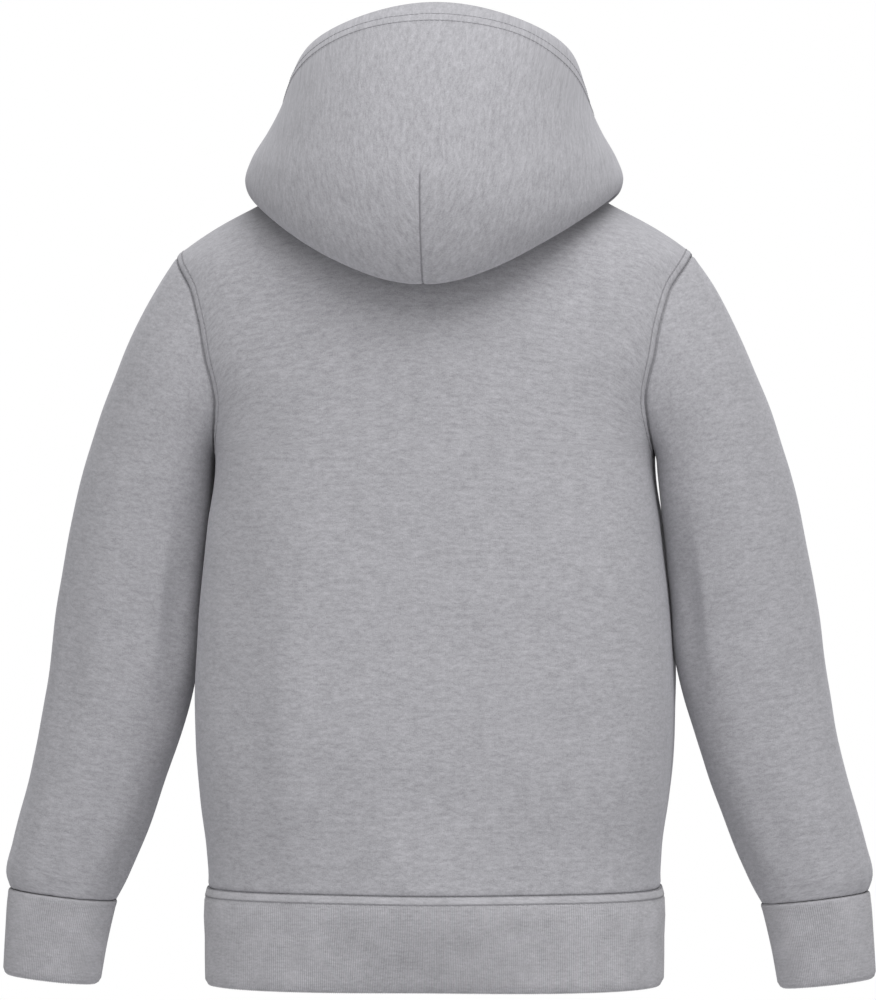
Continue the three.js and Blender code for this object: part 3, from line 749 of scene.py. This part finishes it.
def hood_places(turns):
    """How far along each line of the hood its rows lie: evenly to the hem, and then across the hem."""
    samples = np.linspace(0, 1, LENGTH_SAMPLES)
    turn, along = np.meshgrid(turns, samples, indexing="ij")
    step = np.linalg.norm(np.diff(on_hood(turn, along), axis=1), axis=-1)
    length = np.concatenate([np.zeros((len(turns), 1)), np.cumsum(step, axis=1)], axis=1)
    total = length[:, -1]
    hem = np.minimum(HOOD_HEM, HEM_SHARE * total)
    cloth = ends_close(HOOD_ROWS)[1:]
    turned = np.linspace(0.05, 1, HOOD_HEM_ROWS)
    to_hem, in_hem = cloth * (total - hem)[:, None], total[:, None] - hem[:, None] * (1 - turned)
    wanted = np.concatenate([to_hem, in_hem], axis=1)
    places = np.array([np.interp(w, one, samples) for w, one in zip(wanted, length)])
    to_rim = (total[:, None] - wanted) * HOOD_HEM / hem[:, None] * MM
    return places, to_rim


def rim_rows():
    """Where the stitches of the hood's hem lie, as rows of points in metres."""
    turns = np.linspace(-math.pi + RIM_END, math.pi - RIM_END, RIM_STEPS)
    places, to_rim = hood_places(turns)
    rows = []
    for line in RIM_LINES:
        at = [np.interp(-line, -one, place) for one, place in zip(to_rim, places)]
        rows.append(on_hood(turns, np.array(at)) * MM)
    return rows


def make_hood(material):
    """The hood: its wall, thicker at the hem round its opening, and the area of its cut."""
    split = FRONT_SPLIT / torso["front"](-FRONT_NECK_DROP)
    away = np.concatenate([BY_THE_SEAM, np.linspace(0.05, math.pi - split, HOOD_TURNS)])
    turns = np.concatenate([-away[::-1], [0], away])
    places, to_rim = hood_places(turns)
    turn = turns[:, None] + 0 * places
    outer = on_hood(turn, places)
    out = outward(on_hood, turn, places, LONG_STEP)
    first, first_out = sewn_on(lambda t: (t, neckline_z(t)), turns, np.array([0, 0, FRONT_NECK_DROP]))
    outer = np.concatenate([first[:, None], outer], axis=1)
    out = np.concatenate([first_out[:, None], out], axis=1)
    to_rim = np.concatenate([to_rim[:, :1] + 0.001, to_rim], axis=1)
    turn = np.concatenate([turn[:, :1], turn], axis=1)
    below = eased((SEAM_TOP - outer[..., 2]) / SEAM_FADE) * (np.abs(turn) < QUARTER)
    from_seam = np.abs(turn) * np.hypot(outer[..., 0], outer[..., 1])
    valley = SEAM_VALLEY["deep"] * np.exp(-(from_seam / SEAM_VALLEY["wide"]) ** 2) * below
    crease = SEAM_GROOVE["deep"] * np.exp(-(from_seam / SEAM_GROOVE["wide"]) ** 2) * below
    swell = uneven(outer, *HOOD_SWELL, HOOD_SWELL_SEED) * np.clip(to_rim / RIM_CALM, 0, 1)
    rim_swell = RIM_RAISED * (1 - eased((to_rim - RIM_LINES[1]) / RIM_EDGE)) * eased(to_rim / RIM_ROLL)
    pucker = uneven(outer, *HOOD_PUCKER, HOOD_PUCKER_SEED)
    pucker = pucker * np.exp(-((to_rim - RIM_LINES[0]) / SLEEVE_PUCKERS_REACH) ** 2)
    shown = outer + out * (swell + rim_swell + pucker - valley - crease)[..., None]
    hem_rows = np.arange(outer.shape[1]) >= outer.shape[1] - HOOD_HEM_ROWS
    thick = FLEECE_THICK + np.where(hem_rows, HEM_LAYER, 0.0)[None, :]
    inner = outer + out * (swell - valley - thick)[..., None]
    onward = outer[:, -1] - outer[:, -2]
    onward = onward / np.linalg.norm(onward, axis=-1, keepdims=True)
    fold = (shown[:, -1] + inner[:, -1]) / 2 + RIM_BULGE * onward
    uv = cloth_map(outer, len(away))
    fan = FAN_LEAN * np.minimum(0, (outer[..., 2] - SEAM_TOP) * MM) * np.exp(-np.abs(uv[..., 0]) / FAN_SPREAD)
    uv[..., 0] -= np.sign(turn) * fan * (np.abs(turn) < QUARTER)
    facts = {"seam": to_rim, "back_seam": from_seam * MM + NO_SEAM * (1 - below)}
    return make_wall("hood_cloth", shown, inner, False, uv, facts, material, fold), cut_area(outer)


# The hood's two rim rows and its back seam each get a groove whose colour is darkened with painted shade.
hood_lines = [("seam", line) for line in RIM_LINES] + [("back_seam", 0.0)]
hood_fleece = fleece("hood_fleece", streaks_upright=True, lines=hood_lines)
hood, hood_area = make_hood(hood_fleece)
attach(hood, "root")
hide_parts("hood")

# The hem band and cuffs: one by one rib knit folded double, drawn in a little by its own stretch. The band's
# top edge is topstitched, which leaves a raised strip with its ribs pressed flat. The colour is darkened with
# painted shade in the ribs' valleys and in the sewn grooves.
RIB_THICK = 3.0
HEM_RIBS = 613
CUFF_RIBS = 157
STEPS_PER_RIB = 4
RIB_DEPTH = 0.00026
HEM_STRIP = 0.0046
RIB_COLOUR = (0.470, 0.464, 0.490)
# Painted shade: how much darker the colour is drawn in the ribs' valleys.
RIB_VALLEY_PAINTED_SHADE = 0.27
RIB_CONTRAST = 3.1
RIB_YARN = [
    (0.0045, 0.0012, 3.0, 31.0, 0.4), (0.0007, 0.0009, 2.0, 33.0, 0.35), (0.016, 0.010, 2.0, 35.0, 0.25),
]
RIB_FUZZ = {"wide": 0.0005, "high": 0.0007, "detail": 3.0, "seed": 37.0}
RIB_FUZZ_HEIGHT = 0.6
RIB_COURSE_HEIGHT = 0.12
# Painted shade: how much darker the colour is drawn in each sewn groove.
RIB_GROOVE_PAINTED_SHADE = 0.34
RIB_GROOVE_DEPTH = 1.5
RIB_BUMP = (0.5, 0.0003)
RIB_ROUGHNESS = 0.9
RIB_SHEEN = 0.25
EDGE_BULGE = 0.9
RIB_SEAM = 0.0004
# On the hem band, in millimetres down from its seam: where its ribs begin, the height of its raised strip and
# where that ends, and how far the band turns in at its seam, along its length and at its lower edge.
HEM_RIBBED = {"from": 4.9, "over": 1.2, "least": 0.1}
HEM_RAISED = {"high": 0.45, "over": 0.8, "until": 4.2, "ends": 0.7}
HEM_AT_SEAM = {"deep": 0.5, "wide": 0.4}
HEM_LEANS = {"deep": 1.4, "long": 51}
HEM_TURNS_IN = {"deep": 0.9, "from": 49.6, "over": 1.6}
# The same on a cuff, as shares of its length.
CUFF_RIBBED = 0.08
CUFF_RAISED = {"high": 0.35, "at": 0.035, "wide": 0.03}
CUFF_AT_SEAM = {"deep": 0.25, "wide": 0.006}
CUFF_TURNS_IN = {"deep": 0.9, "from": 0.95, "over": 0.05}
CUFF_LENGTH = 0.044
CUFF_LEAN = 0.1
CUFF_COLUMNS = SLEEVE_COLUMNS
CUFF = [
    (0, 233.8, -381.3, 175.6, -388.3, -19, 28.9), (0.12, 234.6, -386, 176.8, -393, -19.2, 29.1),
    (0.5, 236, -404, 181, -411, -20, 28.2), (1, 237.4, -427, 185, -433, -21, 27.6),
]
CUFF_ROWS = 11


def new_tree(name, values):
    """An empty tree of geometry nodes with named inputs, and the call that adds a node to it."""
    tree = bpy.data.node_groups.new(name, "GeometryNodeTree")
    tree.interface.new_socket("Geometry", in_out="INPUT", socket_type="NodeSocketGeometry")
    tree.interface.new_socket("Geometry", in_out="OUTPUT", socket_type="NodeSocketGeometry")
    for value, kind in values.items():
        tree.interface.new_socket(value, in_out="INPUT", socket_type=f"NodeSocket{kind}")

    def add(kind, settings=None, **inputs):
        node = tree.nodes.new(kind)
        for key, value in (settings or {}).items():
            setattr(node, key, value)
        for key, value in inputs.items():
            if isinstance(value, bpy.types.NodeSocket):
                tree.links.new(value, node.inputs[key])
            else:
                node.inputs[key].default_value = value
        return node

    return tree, add


def rib_knit_tree():
    """Geometry nodes that raise ribs along a wall: each point moves out by a wave round the piece."""
    tree, add = new_tree("rib_knit", {"Ribs": "Int", "Depth": "Float", "Knit": "Material"})

    def times(first, second):
        node = add("ShaderNodeMath", {"operation": "MULTIPLY"})
        for socket, value in zip(node.inputs, (first, second)):
            if isinstance(value, bpy.types.NodeSocket):
                tree.links.new(value, socket)
            else:
                socket.default_value = value
        return node.outputs[0]

    def attribute(name):
        return add("GeometryNodeInputNamedAttribute", {"data_type": "FLOAT"}, Name=name).outputs["Attribute"]

    given, ready = add("NodeGroupInput"), add("NodeGroupOutput")
    angle = times(times(attribute("round"), given.outputs["Ribs"]), 2 * math.pi)
    wave = add("ShaderNodeMath", {"operation": "COSINE"}, Value=angle).outputs[0]
    height = times(times(wave, given.outputs["Depth"]), attribute("ribbed"))
    normal = add("GeometryNodeInputNormal")
    move = add("ShaderNodeVectorMath", {"operation": "SCALE"}, Vector=normal.outputs[0], Scale=height)
    place = add("GeometryNodeSetPosition", Geometry=given.outputs["Geometry"], Offset=move.outputs[0])
    whole = add("GeometryNodeRealizeInstances", Geometry=place.outputs[0])
    coat = add("GeometryNodeSetMaterial", Geometry=whole.outputs[0], Material=given.outputs["Knit"])
    tree.links.new(coat.outputs[0], ready.inputs[0])
    return tree


def grown(piece, tree, values):
    """Runs a tree of geometry nodes on a piece and keeps the plain mesh that it makes."""
    modifier = piece.modifiers.new("grow", "NODES")
    modifier.node_group = tree
    for item in tree.interface.items_tree:
        if item.in_out == "INPUT" and item.name in values:
            modifier[item.identifier] = values[item.name]
    piece.update_tag()
    depsgraph = bpy.context.evaluated_depsgraph_get()
    mesh = bpy.data.meshes.new_from_object(piece.evaluated_get(depsgraph), depsgraph=depsgraph)
    name = piece.name
    bpy.data.objects.remove(piece)
    mesh.name = name
    plain = bpy.data.objects.new(name, mesh)
    bpy.context.collection.objects.link(plain)
    return plain


def rib(name, lines=()):
    """The rib knit of one piece, with painted shade in its ribs' valleys, and a groove, darkened with painted
    shade, at each distance from its seam that is listed.
    """
    paint = Paint(name)
    u, v = cloth_uv(paint)
    # Painted shade: the colour is darkened in the ribs' valleys, where shade would fall.
    shade = heather(paint, u, v, RIB_YARN, RIB_CONTRAST) * (1 - paint.fact("valley") * RIB_VALLEY_PAINTED_SHADE)
    courses = (v * (2 * math.pi / COURSE)).math("SINE") * RIB_COURSE_HEIGHT
    height = paint.patches(u, v, **RIB_FUZZ) * RIB_FUZZ_HEIGHT + courses
    seam = paint.fact("seam")
    for line in lines:
        groove = seam.near(line, GROOVE_WIDTH)
        # Painted shade: the colour is darkened in each sewn groove.
        shade = shade * (1 - groove * RIB_GROOVE_PAINTED_SHADE)
        height = height - groove * RIB_GROOVE_DEPTH
    return finish_cloth(paint, RIB_COLOUR, shade, height, RIB_BUMP, RIB_ROUGHNESS, RIB_SHEEN)


rib_tree = rib_knit_tree()


def make_rib_band(name, surface, ribs, rows, ribbed, past, material, side=1):
    """A hem band or cuff: its wall with the ribs raised on it, and the area of its cut."""
    share = np.arange(ribs * STEPS_PER_RIB) / (ribs * STEPS_PER_RIB)
    turn, along = np.meshgrid(2 * math.pi * share, rows, indexing="ij")
    outer = surface(turn, along)
    out = outward(surface, turn, along, LONG_STEP if side else SHORT_STEP)
    if side:
        outer, out = mirrored(outer, side), mirrored(out, side)
    strip = ribbed["strip"][None, :] + 0 * turn
    edge_roll = ribbed["roll"][None, :] + 0 * turn
    shown = outer + out * (strip - edge_roll)[..., None]
    inner = outer - out * RIB_THICK
    fold = (shown[:, -1] + inner[:, -1]) / 2 + past
    uv = cloth_map(outer, 0)
    wave = 0.5 - 0.5 * np.cos(2 * math.pi * share * ribs)[:, None] * ribbed["amount"][None, :]
    facts = {
        "seam": ribbed["seam"][None, :] + 0 * turn,
        "round": share[:, None] + 0 * turn,
        "ribbed": ribbed["amount"][None, :] + 0 * turn,
        # valley: 1 in the ribs' troughs, where the colour gets painted shade.
        "valley": wave,
    }
    band = make_wall(name, shown, inner, True, uv, facts, material, fold)
    area = cut_area(outer, ring=True)
    return grown(band, rib_tree, {"Ribs": ribs, "Depth": RIB_DEPTH, "Knit": material}), area


hem_rib = rib("hem_rib", lines=(RIB_SEAM, HEM_STRIP))
hem_down = np.array([0.15, 0.5, 1.2, 3.0, 4.2, 4.6, 5.2, 7, 16, 27, 38, 46, 49.5, 51.0])
hem_z = -HEM_SEAM_DROP - hem_down
hem_ribbed = eased((hem_down - HEM_RIBBED["from"]) / HEM_RIBBED["over"])
hem_ends = eased((hem_down - HEM_RAISED["until"]) / HEM_RAISED["ends"])
hem_facts = {
    "amount": hem_ribbed * (1 - HEM_RIBBED["least"]) + HEM_RIBBED["least"],
    "strip": HEM_RAISED["high"] * eased(hem_down / HEM_RAISED["over"]) * (1 - hem_ends),
    "roll": (HEM_TURNS_IN["deep"] * eased((hem_down - HEM_TURNS_IN["from"]) / HEM_TURNS_IN["over"])
             + HEM_AT_SEAM["deep"] * np.exp(-(hem_down / HEM_AT_SEAM["wide"]) ** 2)
             + HEM_LEANS["deep"] * (hem_down / HEM_LEANS["long"]) ** 3),
    "seam": hem_down * MM,
}
past = np.array([0, 0, -EDGE_BULGE])
hem_band, hem_area = make_rib_band("hem_band_rib", on_body, HEM_RIBS, hem_z, hem_facts, past, hem_rib, 0)
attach(hem_band, "root")
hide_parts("hem_band")

cuff_shape = curves(CUFF_COLUMNS, CUFF)


def on_cuff(turn, down):
    return on_tube(cuff_shape, turn, down)


cuff_rib = rib("cuff_rib", lines=(SLEEVE_EDGE,))
cuff_rows = np.concatenate([[0, 0.01, 0.03, 0.06], np.linspace(0.1, 0.95, CUFF_ROWS), [0.98, 1]])
cuff_raised = np.exp(-((cuff_rows - CUFF_RAISED["at"]) / CUFF_RAISED["wide"]) ** 2)
cuff_facts = {
    "amount": eased(cuff_rows / CUFF_RIBBED),
    "strip": CUFF_RAISED["high"] * cuff_raised,
    "roll": (CUFF_TURNS_IN["deep"] * eased((cuff_rows - CUFF_TURNS_IN["from"]) / CUFF_TURNS_IN["over"])
             + CUFF_AT_SEAM["deep"] * np.exp(-(cuff_rows / CUFF_AT_SEAM["wide"]) ** 2)),
    "seam": cuff_rows * CUFF_LENGTH,
}
for name, side in (("left", 1), ("right", -1)):
    past = np.array([CUFF_LEAN * side, 0, -EDGE_BULGE])
    cuff, area = make_rib_band(
        f"cuff_{name}_rib", on_cuff, CUFF_RIBS, cuff_rows, cuff_facts, past, cuff_rib, side)
    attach(cuff, "root")
    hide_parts(f"cuff_{name}")

# The stitches: grey polyester thread in rows made by a twin needle, round both armholes on the body's side,
# along the top of the hem band and round the hood's opening. Each stitch is one short bead of thread.
STITCH_PITCH = 0.0028
STITCH_LONG = 0.0024
THREAD_WIDE = 0.00048
THREAD_LIFT = 0.00005
THREAD_COLOUR = (0.285, 0.281, 0.300)
THREAD_ROUGHNESS = 0.7
FIBRE = 0.0009
HEM_LINES = (0.6, 4.6)
SEWN_STEPS = 240


def stitch_tree():
    """Geometry nodes that lay a row of stitches, end to end, along each line of a mesh."""
    tree, add = new_tree("stitches", {"Pitch": "Float", "Shape": "Vector", "Thread": "Material"})
    given, ready = add("NodeGroupInput"), add("NodeGroupOutput")
    line = add("GeometryNodeMeshToCurve", Mesh=given.outputs["Geometry"])
    even = add(
        "GeometryNodeResampleCurve", {"mode": "LENGTH"}, Curve=line.outputs[0], Length=given.outputs["Pitch"])
    bead = add("GeometryNodeMeshUVSphere", Segments=8, Rings=5, Radius=0.5)
    stitch = add("GeometryNodeTransform", Geometry=bead.outputs["Mesh"], Scale=given.outputs["Shape"])
    tangent = add("GeometryNodeInputTangent")
    lay = add("FunctionNodeAlignRotationToVector", {"axis": "Z"}, Vector=tangent.outputs[0])
    row = add(
        "GeometryNodeInstanceOnPoints", Points=even.outputs[0], Instance=stitch.outputs[0],
        Rotation=lay.outputs[0])
    whole = add("GeometryNodeRealizeInstances", Geometry=row.outputs[0])
    smooth = add("GeometryNodeSetShadeSmooth", Geometry=whole.outputs[0])
    coat = add("GeometryNodeSetMaterial", Geometry=smooth.outputs[0], Material=given.outputs["Thread"])
    tree.links.new(coat.outputs[0], ready.inputs[0])
    return tree


def thread_material():
    paint = Paint("thread")
    place = paint.add("ShaderNodeTexCoord", output="Object")
    fibres = paint.add("ShaderNodeTexNoise", {}, {"Vector": place, "Scale": 1 / FIBRE, "Detail": 2.0})
    paint.join(tinted(paint, THREAD_COLOUR, fibres * 0.5 + 0.75), paint.shader.inputs["Base Color"])
    bump = paint.add("ShaderNodeBump", {}, {"Strength": 0.5, "Distance": 0.0001, "Height": fibres})
    paint.join(bump, paint.shader.inputs["Normal"])
    paint.shader.inputs["Roughness"].default_value = THREAD_ROUGHNESS
    return paint.material


def sew(name, rows, cloths):
    """Stitches along rows of points, in metres, each laid on whichever cloth's surface is nearest."""
    surfaces = []
    for cloth in cloths:
        places = [vertex.co for vertex in cloth.data.vertices]
        surfaces.append(BVHTree.FromPolygons(places, [face.vertices for face in cloth.data.polygons]))
    points, edges = [], []
    for row, closed in rows:
        first = len(points)
        for point in row:
            found = [surface.find_nearest(Vector(point)) for surface in surfaces]
            place, normal, _, _ = min(found, key=lambda hit: hit[3])
            points.append(place + normal * THREAD_LIFT)
        last = len(points) - 1
        edges += [(i, i + 1) for i in range(first, last)] + ([(last, first)] if closed else [])
    mesh = bpy.data.meshes.new(name)
    mesh.from_pydata(points, edges, [])
    line = bpy.data.objects.new(name, mesh)
    bpy.context.collection.objects.link(line)
    shape = (THREAD_WIDE, THREAD_WIDE, STITCH_LONG)
    seam = grown(line, sewing, {"Pitch": STITCH_PITCH, "Shape": shape, "Thread": thread})
    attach(seam, "root")


def beside_armhole(away, side):
    """A row round an armhole, on the body, a distance in millimetres from the sleeve's seam."""
    turn = 2 * math.pi * np.arange(SEWN_STEPS) / SEWN_STEPS
    edge = on_body(*armhole_round(turn))
    sewn, _ = sewn_on(armhole_round, turn, BODY_CENTRE)
    return mirrored(edge - (sewn - edge) / SEAM_GAP * away, side) * MM


sewing = stitch_tree()
thread = thread_material()
armhole_rows = [
    (beside_armhole(line / MM, side), True) for side in (1, -1) for line in ARMHOLE_LINES
]
sew("armhole_stitches", armhole_rows, [back_panel, front_panel])
round_body = 2 * math.pi * np.arange(SEWN_STEPS) / SEWN_STEPS
hem_sewn = [(on_body(round_body, -HEM_SEAM_DROP - down + 0 * round_body) * MM, True) for down in HEM_LINES]
sew("hem_stitches", hem_sewn, [hem_band])
sew("rim_stitches", [(row, False) for row in rim_rows()], [hood])
